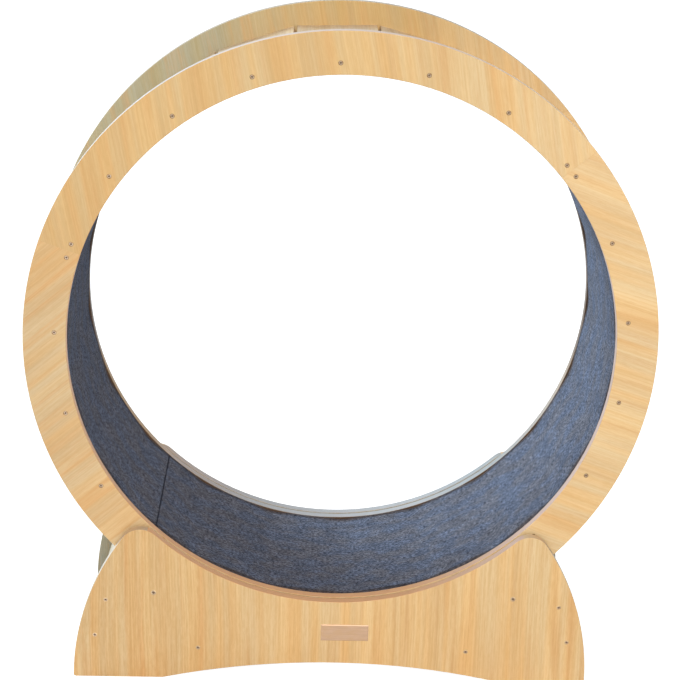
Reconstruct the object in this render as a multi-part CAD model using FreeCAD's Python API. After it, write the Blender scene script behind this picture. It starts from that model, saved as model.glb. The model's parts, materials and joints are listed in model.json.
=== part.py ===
"""Cat exercise wheel: a wooden drum that turns on four grooved rollers in a cradle base.

Millimetres, +Z up. The wheel's axis runs along Y and the front faces -Y.
The origin is on the floor, straight below the middle of the wheel.
Angles go counter-clockwise from +X, as seen from the front.
"""

import FreeCAD, Part
import math
import os

# ---------------------------------------------------------------- driving dimensions

# Rings: two hoops of board, each of three arcs butted end to end
RING_RADIUS = 500.0
RING_BOARD_WIDTH = 67.0
RING_THICKNESS = 15.0
RING_SEGMENTS = 3
RING_JOINT_ANGLE = 41.3
RING_JOINT_GAP = 0.1
RING_FLOOR_CLEARANCE = 75.0

# Slats: flat boards across the drum, between the rings
DRUM_WIDTH = 308.0
SLATS_PER_SEGMENT = 7
SLAT_THICKNESS = 15.0
SLAT_LIP = 10.7
SLAT_GAP = 1.5

# Carpet: one strip of felt glued inside the slats
CARPET_THICKNESS = 6.5
CARPET_EDGE_GAP = 1.0
CARPET_SEAM_ANGLE = 227.5
CARPET_SEAM_GAP = 0.6

# Wood screws, countersunk, in the rings and in the base
WOOD_SCREW_RADIUS = 2.0
WOOD_SCREW_HEAD_RADIUS = 3.8
WOOD_SCREW_LENGTH = 45.0
WOOD_SCREW_POINT = 4.0
WOOD_SCREW_TIP_RADIUS = 0.3
SCREW_HEAD_SINK = 0.3
SCREW_CLEARANCE = 0.05
JOINT_SCREW_OFFSET = 11.4

# Base panels: two cradle-shaped boards, one before and one behind the wheel
PANEL_THICKNESS = 15.0
HORN_ANGLE = 42.5
HORN_RADIUS = 34.0
FOOT_REACH = 107.7
FOOT_LENGTH = 146.0
FOOT_CORNER_RADIUS = 4.0
ARCH_RISE = 31.5

# Boards and rails that join the panels
CROSS_BOARD_THICKNESS = 15.0
CROSS_BOARD_WIDTH = 110.0
CROSS_BOARD_SLOPE = 15.5
CROSS_BOARD_INSET = 29.0
CROSS_SCREW_INSET = 22.0
RAIL_THICKNESS = 15.0
RAIL_WIDTH = 60.0
RAIL_HEIGHT = 55.5
RAIL_INSET = 56.5
DOWEL_RADIUS = 4.0
DOWEL_LENGTH = 30.0
DOWEL_PANEL_DEPTH = 10.0
DOWEL_OFFSET = 18.0
DOWEL_CLEARANCE = 0.05

# Rollers: grooved tyres that the ring rims run in
ROLLER_ANGLE = 34.87
TREAD_RADIUS = 13.5
FLANGE_RADIUS = 18.0
FLANGE_THICKNESS = 2.5
FLANGE_FLARE = 0.5
GROOVE_SIDE_CLEARANCE = 0.5
RIM_CLEARANCE = 0.3
TYRE_PANEL_GAP = 1.0
TYRE_LIP = 1.5
TYRE_EDGE_ROUND = 0.8

# Ball bearings in the rollers
BEARING_RADIUS = 8.0
BEARING_WIDTH = 5.0
BEARING_FIT = 0.02
OUTER_RACE_RADIUS = 6.3
INNER_RACE_RADIUS = 4.2
BALL_RADIUS = 1.4
BALL_COUNT = 7
BALL_CLEARANCE = 0.05
SHIELD_THICKNESS = 0.4
SHIELD_CLEARANCE = 0.3

# Axle screws and what is on them
AXLE_RADIUS = 2.5
AXLE_HEAD_RADIUS = 4.6
AXLE_END_CHAMFER = 0.5
AXLE_PROJECTION = 1.5
AXLE_CLEARANCE = 0.05
SPACER_WALL = 1.4
WASHER_THICKNESS = 1.0
NUT_ACROSS_FLATS = 8.0
NUT_HEX_HEIGHT = 3.6
NUT_COLLAR_HEIGHT = 1.4
NUT_COLLAR_WALL = 1.0

# Name plate on the front panel
PLATE_WIDTH = 78.0
PLATE_HEIGHT = 29.0
PLATE_THICKNESS = 1.2
PLATE_CORNER_RADIUS = 1.0
PLATE_CENTRE_X = 18.9
PLATE_CENTRE_Z = 87.4

# Finish of the boards' edges, and of the recess in a screw head
BOARD_EDGE_ROUND = 1.2
SLAT_EDGE_ROUND = 0.8
RECESS_SPAN_SHARE = 0.55
RECESS_WING_SHARE = 0.24
RECESS_DEPTH_SHARE = 0.65
CUT_OVERRUN = 1.0

# ---------------------------------------------------------------- sizes that follow

RING_INNER_RADIUS = RING_RADIUS - RING_BOARD_WIDTH
AXIS_HEIGHT = RING_RADIUS + RING_FLOOR_CLEARANCE
SEGMENT_ANGLE = 360.0 / RING_SEGMENTS
SLAT_COUNT = RING_SEGMENTS * SLATS_PER_SEGMENT
SLAT_PITCH = 360.0 / SLAT_COUNT
SLAT_FACE_RADIUS = RING_INNER_RADIUS + SLAT_LIP
SLAT_MIDDLE_RADIUS = SLAT_FACE_RADIUS + SLAT_THICKNESS / 2
SLAT_WIDTH = 2 * SLAT_FACE_RADIUS * math.tan(math.radians(SLAT_PITCH / 2)) - SLAT_GAP

RING_INNER_FACE = DRUM_WIDTH / 2
RING_OUTER_FACE = RING_INNER_FACE + RING_THICKNESS
RING_MIDDLE = RING_INNER_FACE + RING_THICKNESS / 2
GROOVE_HALF_WIDTH = RING_THICKNESS / 2 + GROOVE_SIDE_CLEARANCE
TYRE_HALF_WIDTH = GROOVE_HALF_WIDTH + FLANGE_THICKNESS
PANEL_INNER_FACE = RING_MIDDLE + TYRE_HALF_WIDTH + TYRE_PANEL_GAP
PANEL_OUTER_FACE = PANEL_INNER_FACE + PANEL_THICKNESS

ROLLER_DISTANCE = RING_RADIUS + RIM_CLEARANCE + TREAD_RADIUS
ROLLER_X = ROLLER_DISTANCE * math.sin(math.radians(ROLLER_ANGLE))
ROLLER_Z = AXIS_HEIGHT - ROLLER_DISTANCE * math.cos(math.radians(ROLLER_ANGLE))

# The outline of a panel: a horn is a round end, tangent to the cradle and to the side
CRADLE_RADIUS = RING_INNER_RADIUS
HORN_X = (CRADLE_RADIUS + HORN_RADIUS) * math.sin(math.radians(HORN_ANGLE))
HORN_Z = AXIS_HEIGHT - (CRADLE_RADIUS + HORN_RADIUS) * math.cos(math.radians(HORN_ANGLE))
FOOT_X = HORN_X + FOOT_REACH
SIDE_CENTRE_X = ((FOOT_X - HORN_RADIUS) ** 2 - HORN_X ** 2 - HORN_Z ** 2) / (
    2 * (FOOT_X - HORN_RADIUS - HORN_X))
SIDE_RADIUS = FOOT_X - SIDE_CENTRE_X
ARCH_HALF_SPAN = FOOT_X - FOOT_LENGTH
RAIL_X = ARCH_HALF_SPAN - RAIL_INSET

SPACER_RADIUS = AXLE_RADIUS + AXLE_CLEARANCE + SPACER_WALL
BEARING_FACE = RING_MIDDLE + BEARING_WIDTH / 2
NUT_FACE = RING_MIDDLE - BEARING_WIDTH / 2 - WASHER_THICKNESS
AXLE_END = NUT_FACE - NUT_HEX_HEIGHT - NUT_COLLAR_HEIGHT - AXLE_PROJECTION
BALL_PITCH_RADIUS = (OUTER_RACE_RADIUS + INNER_RACE_RADIUS) / 2

ORIGIN = FreeCAD.Vector(0, 0, 0)
AXIS_POINT = FreeCAD.Vector(0, 0, AXIS_HEIGHT)
ALONG_X = FreeCAD.Vector(1, 0, 0)
ALONG_Y = FreeCAD.Vector(0, 1, 0)
TOWARDS_FRONT = FreeCAD.Vector(0, -1, 0)


# ---------------------------------------------------------------- shared shapes

def at(x, z, y=0.0):
    """A point, given by its place in the front view."""
    return FreeCAD.Vector(x, y, z)


def polar(centre, radius, angle):
    """The point of the front view at that angle and distance from centre."""
    turn = math.radians(angle)
    return centre + at(radius * math.cos(turn), radius * math.sin(turn))


def arc(centre, radius, start, end):
    """The arc about centre from one angle to another, as an edge of the front view."""
    middle = (start + end) / 2
    points = [polar(centre, radius, angle) for angle in (start, middle, end)]
    return Part.Arc(*points).toShape()


def line(start, end):
    return Part.LineSegment(start, end).toShape()


def board(edges, y_low, thickness):
    """A board whose outline is drawn in the front view, from y_low backwards."""
    face = Part.Face(Part.Wire(edges))
    face.translate(at(0, 0, y_low))
    return face.extrude(at(0, 0, thickness))


def rounded(solid, radius, wanted):
    """The solid with a round over each edge that wanted() picks."""
    return solid.makeFillet(radius, [edge for edge in solid.Edges if wanted(edge)])


def lies_flat(edge):
    """True for an edge in a face of a board that stands across Y."""
    return edge.BoundBox.YLength < 1e-6


def turned(points):
    """The solid that a half section of (radius, y) points sweeps round the Y axis."""
    corners = [at(radius, 0, y) for radius, y in points]
    face = Part.Face(Part.makePolygon(corners + corners[:1]))
    return face.revolve(ORIGIN, ALONG_Y, 360)


def tube(outer, inner, y_low, length):
    """A ring of square section about the Y axis."""
    y_high = y_low + length
    return turned([(inner, y_low), (outer, y_low), (outer, y_high), (inner, y_high)])


def moved(shape, place):
    copy = shape.copy()
    copy.translate(place)
    return copy


def behind(shape):
    """The same shape on the wheel's rear side."""
    return shape.mirror(ORIGIN, ALONG_Y)


def on_left(shape):
    """The same shape on the wheel's left side."""
    return shape.mirror(ORIGIN, ALONG_X)


def about_axis(shape, angle):
    """The shape carried round the wheel by that angle."""
    copy = shape.copy()
    copy.rotate(AXIS_POINT, TOWARDS_FRONT, angle)
    return copy


# ---------------------------------------------------------------- screws

def screw_body(radius, head_radius, length, end, grow=0.0):
    """A countersunk screw that points backwards, its head's face at the origin.

    end lists the last points of its half section. grow makes the hole that it fits.
    """
    cone = head_radius - radius
    section = [(0, 0), (head_radius + grow, 0), (radius + grow, cone)]
    section += [(r + grow if r else 0, length + y) for r, y in end]
    return turned(section)


def screw_hole(radius, head_radius, length, end):
    """What a screw's place takes out of the wood, up to past the face over its head."""
    grow = SCREW_CLEARANCE
    depth = SCREW_HEAD_SINK + CUT_OVERRUN
    mouth = Part.makeCylinder(head_radius + grow, depth, at(0, 0, -depth), ALONG_Y)
    return screw_body(radius, head_radius, length + grow, end, grow).fuse(mouth)


def with_recess(screw, radius, head_radius):
    """The screw with a cross recess in its head."""
    span = 2 * head_radius * RECESS_SPAN_SHARE
    wing = 2 * head_radius * RECESS_WING_SHARE
    depth = (head_radius - radius) * RECESS_DEPTH_SHARE + CUT_OVERRUN
    low = -CUT_OVERRUN
    across = Part.makeBox(span, depth, wing, at(-span / 2, -wing / 2, low))
    upright = Part.makeBox(wing, depth, span, at(-wing / 2, -span / 2, low))
    return screw.cut(across.fuse(upright))


def wood_screw():
    point = [(WOOD_SCREW_RADIUS, -WOOD_SCREW_POINT), (WOOD_SCREW_TIP_RADIUS, 0), (0, 0)]
    size = (WOOD_SCREW_RADIUS, WOOD_SCREW_HEAD_RADIUS, WOOD_SCREW_LENGTH, point)
    whole = screw_body(*size)
    return with_recess(whole, WOOD_SCREW_RADIUS, WOOD_SCREW_HEAD_RADIUS), screw_hole(*size)


def axle_screw():
    length = PANEL_OUTER_FACE - SCREW_HEAD_SINK - AXLE_END
    tip = AXLE_RADIUS - AXLE_END_CHAMFER
    end = [(AXLE_RADIUS, -AXLE_END_CHAMFER), (tip, 0), (0, 0)]
    size = (AXLE_RADIUS, AXLE_HEAD_RADIUS, length, end)
    whole = screw_body(*size)
    return with_recess(whole, AXLE_RADIUS, AXLE_HEAD_RADIUS), screw_hole(*size)


# ---------------------------------------------------------------- wheel

def slat_screw_offsets(index):
    """Where a slat's screws sit along its width: one, or one each side of a ring joint."""
    if index % SLATS_PER_SEGMENT == 0:
        return [-JOINT_SCREW_OFFSET, JOINT_SCREW_OFFSET]
    return [0.0]


def slat_angle(index):
    return RING_JOINT_ANGLE + index * SLAT_PITCH


def ring_screw_place(index, offset):
    """The place of a screw's head under the front ring's face."""
    middle = polar(AXIS_POINT, SLAT_MIDDLE_RADIUS, slat_angle(index))
    along = polar(ORIGIN, offset, slat_angle(index) + 90)
    return middle + along + at(0, 0, SCREW_HEAD_SINK - RING_OUTER_FACE)


def segment_screw_places(segment):
    """The screws of one ring segment, from the joint at its start to the one at its end."""
    first = segment * SLATS_PER_SEGMENT
    last = first + SLATS_PER_SEGMENT
    places = [ring_screw_place(first, JOINT_SCREW_OFFSET)]
    places += [ring_screw_place(index, 0.0) for index in range(first + 1, last)]
    places.append(ring_screw_place(last, -JOINT_SCREW_OFFSET))
    return places


def ring_segment(segment, hole):
    """One arc of the front ring, its two long edges rounded over, with its screw holes."""
    half_gap = math.degrees(RING_JOINT_GAP / 2 / RING_RADIUS)
    start = RING_JOINT_ANGLE + segment * SEGMENT_ANGLE + half_gap
    end = start + SEGMENT_ANGLE - 2 * half_gap
    edges = [
        arc(AXIS_POINT, RING_RADIUS, start, end),
        line(polar(AXIS_POINT, RING_RADIUS, end), polar(AXIS_POINT, RING_INNER_RADIUS, end)),
        arc(AXIS_POINT, RING_INNER_RADIUS, end, start),
        line(polar(AXIS_POINT, RING_INNER_RADIUS, start), polar(AXIS_POINT, RING_RADIUS, start)),
    ]
    solid = board(edges, -RING_OUTER_FACE, RING_THICKNESS)
    radius = min(BOARD_EDGE_ROUND, RING_THICKNESS / 3)
    solid = rounded(solid, radius, lambda e: lies_flat(e) and isinstance(e.Curve, Part.Circle))
    return solid.cut([moved(hole, place) for place in segment_screw_places(segment)])


def slat(index, hole):
    """One slat, with a screw's hole in each end, or two where the ring boards meet."""
    low = at(AXIS_POINT.x + SLAT_FACE_RADIUS, AXIS_HEIGHT - SLAT_WIDTH / 2, -DRUM_WIDTH / 2)
    solid = Part.makeBox(SLAT_THICKNESS, DRUM_WIDTH, SLAT_WIDTH, low)
    radius = min(SLAT_EDGE_ROUND, SLAT_THICKNESS / 3)
    solid = rounded(solid, radius, lambda e: e.BoundBox.YLength > DRUM_WIDTH / 2)
    solid = about_axis(solid, slat_angle(index))
    places = [ring_screw_place(index, offset) for offset in slat_screw_offsets(index)]
    front = [moved(hole, place) for place in places]
    return solid.cut(front + [behind(cutter) for cutter in front])


def polygon_face(apothem):
    """The flat-sided shape that the slats' faces enclose, at that distance from the axis."""
    corner_radius = apothem / math.cos(math.radians(SLAT_PITCH / 2))
    corners = [polar(AXIS_POINT, corner_radius, slat_angle(index + 0.5))
               for index in range(SLAT_COUNT)]
    return Part.Face(Part.makePolygon(corners + corners[:1]))


def running_carpet():
    """The felt strip, flat on each slat and bent between them, with one seam."""
    width = DRUM_WIDTH - 2 * CARPET_EDGE_GAP
    inner_radius = SLAT_FACE_RADIUS - CARPET_THICKNESS
    loop = polygon_face(SLAT_FACE_RADIUS).cut(polygon_face(inner_radius))
    loop.translate(at(0, 0, -width / 2))
    strip = loop.extrude(at(0, 0, width))
    slit_low = at(inner_radius - CUT_OVERRUN, AXIS_HEIGHT - CARPET_SEAM_GAP / 2, -DRUM_WIDTH / 2)
    slit_depth = 2 * CUT_OVERRUN + CARPET_THICKNESS + SLAT_LIP
    slit = Part.makeBox(slit_depth, DRUM_WIDTH, CARPET_SEAM_GAP, slit_low)
    return strip.cut(about_axis(slit, CARPET_SEAM_ANGLE))


def wheel_nodes():
    screw, hole = wood_screw()
    nodes = {"running_carpet": running_carpet()}
    ring_screws = []
    for segment in range(RING_SEGMENTS):
        front = ring_segment(segment, hole)
        nodes[f"front_ring_segment_{segment + 1}"] = front
        nodes[f"rear_ring_segment_{segment + 1}"] = behind(front)
        ring_screws += [moved(screw, place) for place in segment_screw_places(segment)]
    nodes["front_ring_screws"] = Part.makeCompound(ring_screws)
    nodes["rear_ring_screws"] = Part.makeCompound([behind(s) for s in ring_screws])
    for index in range(SLAT_COUNT):
        nodes[f"slat_{index + 1:02d}"] = slat(index, hole)
    return nodes


# ---------------------------------------------------------------- base

def cross_board_centre():
    """The middle of the right cross board's end, set in from the panel's side."""
    radius = SIDE_RADIUS - CROSS_BOARD_INSET
    return polar(at(SIDE_CENTRE_X, 0), radius, CROSS_BOARD_SLOPE)


def panel_screw_points():
    """Front-view places of a panel's right-hand screws: two per cross board, one per rail."""
    spread = CROSS_BOARD_WIDTH / 2 - CROSS_SCREW_INSET
    centre = cross_board_centre()
    along = polar(ORIGIN, spread, CROSS_BOARD_SLOPE + 90)
    return [centre + along, centre - along, at(RAIL_X, RAIL_HEIGHT)]


def panel_outline():
    """The edges of a panel: cradle, right horn and side, feet and arch, left side and horn."""
    side_centre = at(SIDE_CENTRE_X, 0)
    horn_centre = at(HORN_X, HORN_Z)
    side_angle = math.degrees(math.atan2(HORN_Z, HORN_X - SIDE_CENTRE_X))
    corner = min(FOOT_CORNER_RADIUS, FOOT_LENGTH / 4)
    corner_x = SIDE_CENTRE_X + math.sqrt((SIDE_RADIUS - corner) ** 2 - corner ** 2)
    corner_centre = at(corner_x, corner)
    corner_angle = math.degrees(math.atan2(corner, corner_x - SIDE_CENTRE_X))
    right = [
        arc(horn_centre, HORN_RADIUS, 90 + HORN_ANGLE, side_angle),
        arc(side_centre, SIDE_RADIUS, side_angle, corner_angle),
        arc(corner_centre, corner, corner_angle, -90),
        line(at(corner_x, 0), at(ARCH_HALF_SPAN, 0)),
    ]
    cradle = arc(AXIS_POINT, CRADLE_RADIUS, -90 - HORN_ANGLE, -90 + HORN_ANGLE)
    arch = Part.Arc(at(ARCH_HALF_SPAN, 0), at(0, ARCH_RISE), at(-ARCH_HALF_SPAN, 0)).toShape()
    left = [on_left(edge) for edge in reversed(right)]
    return [cradle] + right + [arch] + left


def front_panel(wood_hole, axle_hole):
    """The front panel: the outline, rounded over on both faces, with all its holes."""
    solid = board(panel_outline(), -PANEL_OUTER_FACE, PANEL_THICKNESS)
    solid = rounded(solid, min(BOARD_EDGE_ROUND, PANEL_THICKNESS / 3), lies_flat)
    head = at(0, 0, SCREW_HEAD_SINK - PANEL_OUTER_FACE)
    cutters = [moved(wood_hole, point + head) for point in panel_screw_points()]
    cutters.append(moved(axle_hole, at(ROLLER_X, ROLLER_Z) + head))
    cutters.append(dowel(DOWEL_CLEARANCE))
    return solid.cut(cutters + [on_left(cutter) for cutter in cutters])


def dowel(grow=0.0):
    """The right rail's front dowel. grow makes the hole that it fits."""
    start = at(RAIL_X, RAIL_HEIGHT + DOWEL_OFFSET, -PANEL_INNER_FACE - DOWEL_PANEL_DEPTH - grow)
    return Part.makeCylinder(DOWEL_RADIUS + grow, DOWEL_LENGTH + 2 * grow, start, ALONG_Y)


def cross_piece(thickness, width, slope, centre, cutters):
    """A board from panel to panel, leaning by slope, with the cutters' holes at both ends."""
    low = at(-thickness / 2, -width / 2, -PANEL_INNER_FACE)
    solid = Part.makeBox(thickness, 2 * PANEL_INNER_FACE, width, low)
    radius = min(BOARD_EDGE_ROUND, thickness / 3)
    solid = rounded(solid, radius, lambda e: e.BoundBox.YLength > PANEL_INNER_FACE)
    solid.rotate(ORIGIN, TOWARDS_FRONT, slope)
    solid.translate(centre)
    return solid.cut(cutters + [behind(cutter) for cutter in cutters])


def name_plate():
    """The bare plate stuck on the front panel."""
    low = at(PLATE_CENTRE_X - PLATE_WIDTH / 2, PLATE_CENTRE_Z - PLATE_HEIGHT / 2,
             -PANEL_OUTER_FACE - PLATE_THICKNESS)
    solid = Part.makeBox(PLATE_WIDTH, PLATE_THICKNESS, PLATE_HEIGHT, low)
    return rounded(solid, PLATE_CORNER_RADIUS, lambda e: not lies_flat(e))


def four(shape):
    """The front right-hand shape and its copies at the other three corners of the base."""
    front = [shape, on_left(shape)]
    return Part.makeCompound(front + [behind(s) for s in front])


def base_nodes():
    screw, hole = wood_screw()
    axle, axle_hole = axle_screw()
    head = at(0, 0, SCREW_HEAD_SINK - PANEL_OUTER_FACE)
    points = panel_screw_points()
    right_holes = [moved(hole, point + head) for point in points]
    cross_board = cross_piece(CROSS_BOARD_THICKNESS, CROSS_BOARD_WIDTH, CROSS_BOARD_SLOPE,
                              cross_board_centre(), right_holes[:2])
    rail = cross_piece(RAIL_THICKNESS, RAIL_WIDTH, 0, at(RAIL_X, RAIL_HEIGHT),
                       right_holes[2:] + [dowel(DOWEL_CLEARANCE)])
    right_screws = [moved(screw, point + head) for point in points]
    screws = right_screws + [on_left(s) for s in right_screws]
    panel = front_panel(hole, axle_hole)
    return {
        "base_front_panel": panel,
        "base_rear_panel": behind(panel),
        "right_cross_board": cross_board,
        "left_cross_board": on_left(cross_board),
        "right_bottom_rail": rail,
        "left_bottom_rail": on_left(rail),
        "rail_dowels": four(dowel()),
        "base_front_screws": Part.makeCompound(screws),
        "base_rear_screws": Part.makeCompound([behind(s) for s in screws]),
        "roller_axle_screws": four(moved(axle, at(ROLLER_X, ROLLER_Z) + head)),
        "name_plate": name_plate(),
    }


# ---------------------------------------------------------------- rollers

def tyre():
    """The grooved tyre, its bore open on the wheel's side and lipped on the panel's."""
    bore = BEARING_RADIUS + BEARING_FIT
    seat = -BEARING_WIDTH / 2
    crest = FLANGE_RADIUS - TYRE_EDGE_ROUND
    outer = TYRE_HALF_WIDTH
    groove = GROOVE_HALF_WIDTH
    flared = groove + FLANGE_FLARE
    return turned([
        (bore - TYRE_LIP, -outer), (crest, -outer), (FLANGE_RADIUS, TYRE_EDGE_ROUND - outer),
        (FLANGE_RADIUS, -flared), (TREAD_RADIUS, -groove), (TREAD_RADIUS, groove),
        (FLANGE_RADIUS, flared), (FLANGE_RADIUS, outer - TYRE_EDGE_ROUND), (crest, outer),
        (bore, outer), (bore, seat), (bore - TYRE_LIP, seat),
    ])


def ball_track():
    """The round groove that the balls run in, as a solid ring."""
    return Part.makeTorus(BALL_PITCH_RADIUS, BALL_RADIUS + BALL_CLEARANCE, ORIGIN, ALONG_Y)


def bearing_outer_ring():
    """The outer race, with a shield at each face that reaches to the inner race."""
    low = -BEARING_WIDTH / 2
    race = tube(BEARING_RADIUS, OUTER_RACE_RADIUS, low, BEARING_WIDTH)
    eye = INNER_RACE_RADIUS + SHIELD_CLEARANCE
    shields = [tube(OUTER_RACE_RADIUS, eye, y, SHIELD_THICKNESS)
               for y in (low, -low - SHIELD_THICKNESS)]
    return race.fuse(shields).removeSplitter().cut(ball_track())


def bearing_balls():
    pitch = 360.0 / BALL_COUNT
    places = [polar(ORIGIN, BALL_PITCH_RADIUS, index * pitch) for index in range(BALL_COUNT)]
    return Part.makeCompound([Part.makeSphere(BALL_RADIUS, place) for place in places])


def bearing_inner_ring():
    race = tube(INNER_RACE_RADIUS, AXLE_RADIUS + AXLE_CLEARANCE,
                -BEARING_WIDTH / 2, BEARING_WIDTH)
    return race.cut(ball_track())


def roller_spacer():
    """The tube that holds the bearing off the panel."""
    return tube(SPACER_RADIUS, AXLE_RADIUS + AXLE_CLEARANCE,
                -PANEL_INNER_FACE, PANEL_INNER_FACE - BEARING_FACE)


def roller_washer():
    return tube(SPACER_RADIUS, AXLE_RADIUS + AXLE_CLEARANCE,
                -NUT_FACE - WASHER_THICKNESS, WASHER_THICKNESS)


def lock_nut():
    """A hexagon nut with a round collar, on the end of an axle screw."""
    corner_radius = NUT_ACROSS_FLATS / 2 / math.cos(math.radians(30))
    corners = [polar(ORIGIN, corner_radius, 60 * index) for index in range(6)]
    hexagon = Part.Face(Part.makePolygon(corners + corners[:1]))
    hexagon.translate(at(0, 0, -NUT_FACE))
    body = hexagon.extrude(at(0, 0, NUT_HEX_HEIGHT))
    collar_radius = AXLE_RADIUS + AXLE_CLEARANCE + NUT_COLLAR_WALL
    collar_low = at(0, 0, NUT_HEX_HEIGHT - NUT_FACE)
    collar = Part.makeCylinder(collar_radius, NUT_COLLAR_HEIGHT, collar_low, ALONG_Y)
    length = NUT_HEX_HEIGHT + NUT_COLLAR_HEIGHT + 2 * CUT_OVERRUN
    bore_low = at(0, 0, -NUT_FACE - CUT_OVERRUN)
    bore = Part.makeCylinder(AXLE_RADIUS + AXLE_CLEARANCE, length, bore_low, ALONG_Y)
    return body.fuse(collar).cut(bore)


def roller_nodes():
    """Four rollers, one for each corner, and what each axle screw clamps."""
    axle = at(ROLLER_X, ROLLER_Z)
    middle = axle + at(0, 0, -RING_MIDDLE)
    turning = {
        "tyre": tyre(),
        "bearing_outer_ring": bearing_outer_ring(),
        "bearing_balls": bearing_balls(),
    }
    nodes = {}
    for name, shape in turning.items():
        right = moved(shape, middle)
        nodes[f"front_right_{name}"] = right
        nodes[f"front_left_{name}"] = on_left(right)
        nodes[f"rear_right_{name}"] = behind(right)
        nodes[f"rear_left_{name}"] = behind(on_left(right))
    nodes["bearing_inner_rings"] = four(moved(bearing_inner_ring(), middle))
    nodes["roller_spacers"] = four(moved(roller_spacer(), axle))
    nodes["roller_washers"] = four(moved(roller_washer(), axle))
    nodes["roller_lock_nuts"] = four(moved(lock_nut(), axle))
    return nodes


# ---------------------------------------------------------------- the whole wheel

def main():
    os.makedirs("parts", exist_ok=True)
    nodes = {**wheel_nodes(), **base_nodes(), **roller_nodes()}
    for name, shape in sorted(nodes.items()):
        shape.exportStep(f"parts/{name}.step")
    print(f"{len(nodes)} nodes, wheel axis {AXIS_HEIGHT:.1f} mm above the floor")
    print(f"roller axles at x {ROLLER_X:.2f}, z {ROLLER_Z:.2f}, y {RING_MIDDLE:.2f}")
    print(f"feet to x {FOOT_X:.2f}, side arc radius {SIDE_RADIUS:.2f}")
    print(f"a roller turns {RING_RADIUS / TREAD_RADIUS:.4f} times as fast as the wheel")


main()
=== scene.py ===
# %% [markdown]
# # A cat's exercise wheel
# The real thing is a wooden drum, a metre across, that turns on four small rollers in a low
# cradle. Its boards, screws, rollers and bearings come from CAD, already at their size and
# place. This lesson gives each of them its surface, makes the felt that the cat runs on,
# and adds the floor, the light and the camera.

# %% Load the CAD frame
import json
import math
import random

import bpy
from mathutils import Matrix, Vector


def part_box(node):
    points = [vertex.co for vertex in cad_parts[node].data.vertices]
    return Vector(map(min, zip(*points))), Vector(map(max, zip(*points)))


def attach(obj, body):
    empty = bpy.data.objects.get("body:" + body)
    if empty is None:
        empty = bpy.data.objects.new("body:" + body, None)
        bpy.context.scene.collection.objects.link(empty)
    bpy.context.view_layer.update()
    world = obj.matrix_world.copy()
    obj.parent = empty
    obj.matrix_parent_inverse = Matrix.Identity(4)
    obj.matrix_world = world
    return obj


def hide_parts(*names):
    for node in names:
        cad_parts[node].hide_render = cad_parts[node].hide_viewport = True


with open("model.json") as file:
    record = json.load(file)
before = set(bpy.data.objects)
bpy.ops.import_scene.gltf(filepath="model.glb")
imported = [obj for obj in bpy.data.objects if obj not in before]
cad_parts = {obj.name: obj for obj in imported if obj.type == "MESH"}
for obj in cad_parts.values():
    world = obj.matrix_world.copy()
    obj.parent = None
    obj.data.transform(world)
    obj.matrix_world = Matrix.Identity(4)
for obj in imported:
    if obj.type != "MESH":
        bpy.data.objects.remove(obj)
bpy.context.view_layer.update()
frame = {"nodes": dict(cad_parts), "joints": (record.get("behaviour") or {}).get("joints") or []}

MM = 0.001
nodes = frame["nodes"]

# %% [markdown]
# ## What the frame tells us
# Nothing is measured twice: the wheel's axis is the place of its joint, the boards' faces are
# the sides of their boxes, and a radius is how far a node's corners lie from the axis.

# %% The wheel's axis, and distances from it
wheel_joint = next(joint for joint in frame["joints"] if joint["name"] == "wheel_spin")
AXIS = Vector(wheel_joint["pos_m"])


def from_axis(point):
    """The distance of a point from the wheel's axis, which runs along Y."""
    return math.hypot(point.x - AXIS.x, point.z - AXIS.z)


def radii(node):
    """The least and the greatest distance of a node's corners from the axis."""
    distances = [from_axis(vertex.co) for vertex in nodes[node].data.vertices]
    return min(distances), max(distances)


def turn_of(node):
    """The angle at which a node stands round the wheel, counter-clockwise from +X."""
    corners = [vertex.co for vertex in nodes[node].data.vertices]
    middle = sum(corners, Vector()) / len(corners)
    return math.atan2(middle.z - AXIS.z, middle.x - AXIS.x)


RING_INNER, RING_OUTER = radii("front_ring_segment_1")
print("ring radii", round(RING_INNER, 4), round(RING_OUTER, 4), "axis height", AXIS.z)

# %% The slats that make the drum
SLATS = sorted(name for name in nodes if name.startswith("slat_"))
PITCH = math.tau / len(SLATS)
FIRST_SLAT_TURN = turn_of(SLATS[0])
SLAT_OUT = Vector((math.cos(FIRST_SLAT_TURN), 0, math.sin(FIRST_SLAT_TURN)))
slat_reach = [(vertex.co - AXIS).dot(SLAT_OUT) for vertex in nodes[SLATS[0]].data.vertices]
SLAT_FACE, SLAT_BACK = min(slat_reach), max(slat_reach)
print(len(SLATS), "slats, faces", round(SLAT_FACE, 4), "to", round(SLAT_BACK, 4), "from the axis")

# %% [markdown]
# ## A short way to write shader nodes
# A material in Blender is a tree of nodes. Written out one by one, a tree takes four lines a
# node, so these helpers add a node, set it and link it in one line. A value that is itself an
# output is linked, and anything else is set.

# %% Helpers that add and link nodes


def add(tree, kind, inputs=None, **settings):
    """Adds a shader node. inputs are for its sockets, settings for its own options."""
    node = tree.nodes.new("ShaderNode" + kind)
    for name, value in settings.items():
        setattr(node, name, value)
    for name, value in (inputs or {}).items():
        if isinstance(value, bpy.types.NodeSocket):
            tree.links.new(value, node.inputs[name])
        else:
            node.inputs[name].default_value = value
    return node


def calc(tree, operation, a, b=0.0, c=0.0):
    """One step of arithmetic on numbers."""
    return add(tree, "Math", {0: a, 1: b, 2: c}, operation=operation).outputs[0]


def plus(tree, a, b):
    """a and b together."""
    return calc(tree, "ADD", a, b)


def minus(tree, a, b):
    """a less b."""
    return calc(tree, "SUBTRACT", a, b)


def times(tree, a, b):
    """a times b."""
    return calc(tree, "MULTIPLY", a, b)


def vector_calc(tree, operation, a, b=(0, 0, 0)):
    """One step of arithmetic on vectors."""
    return add(tree, "VectorMath", {0: a, 1: b}, operation=operation).outputs["Vector"]


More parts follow.
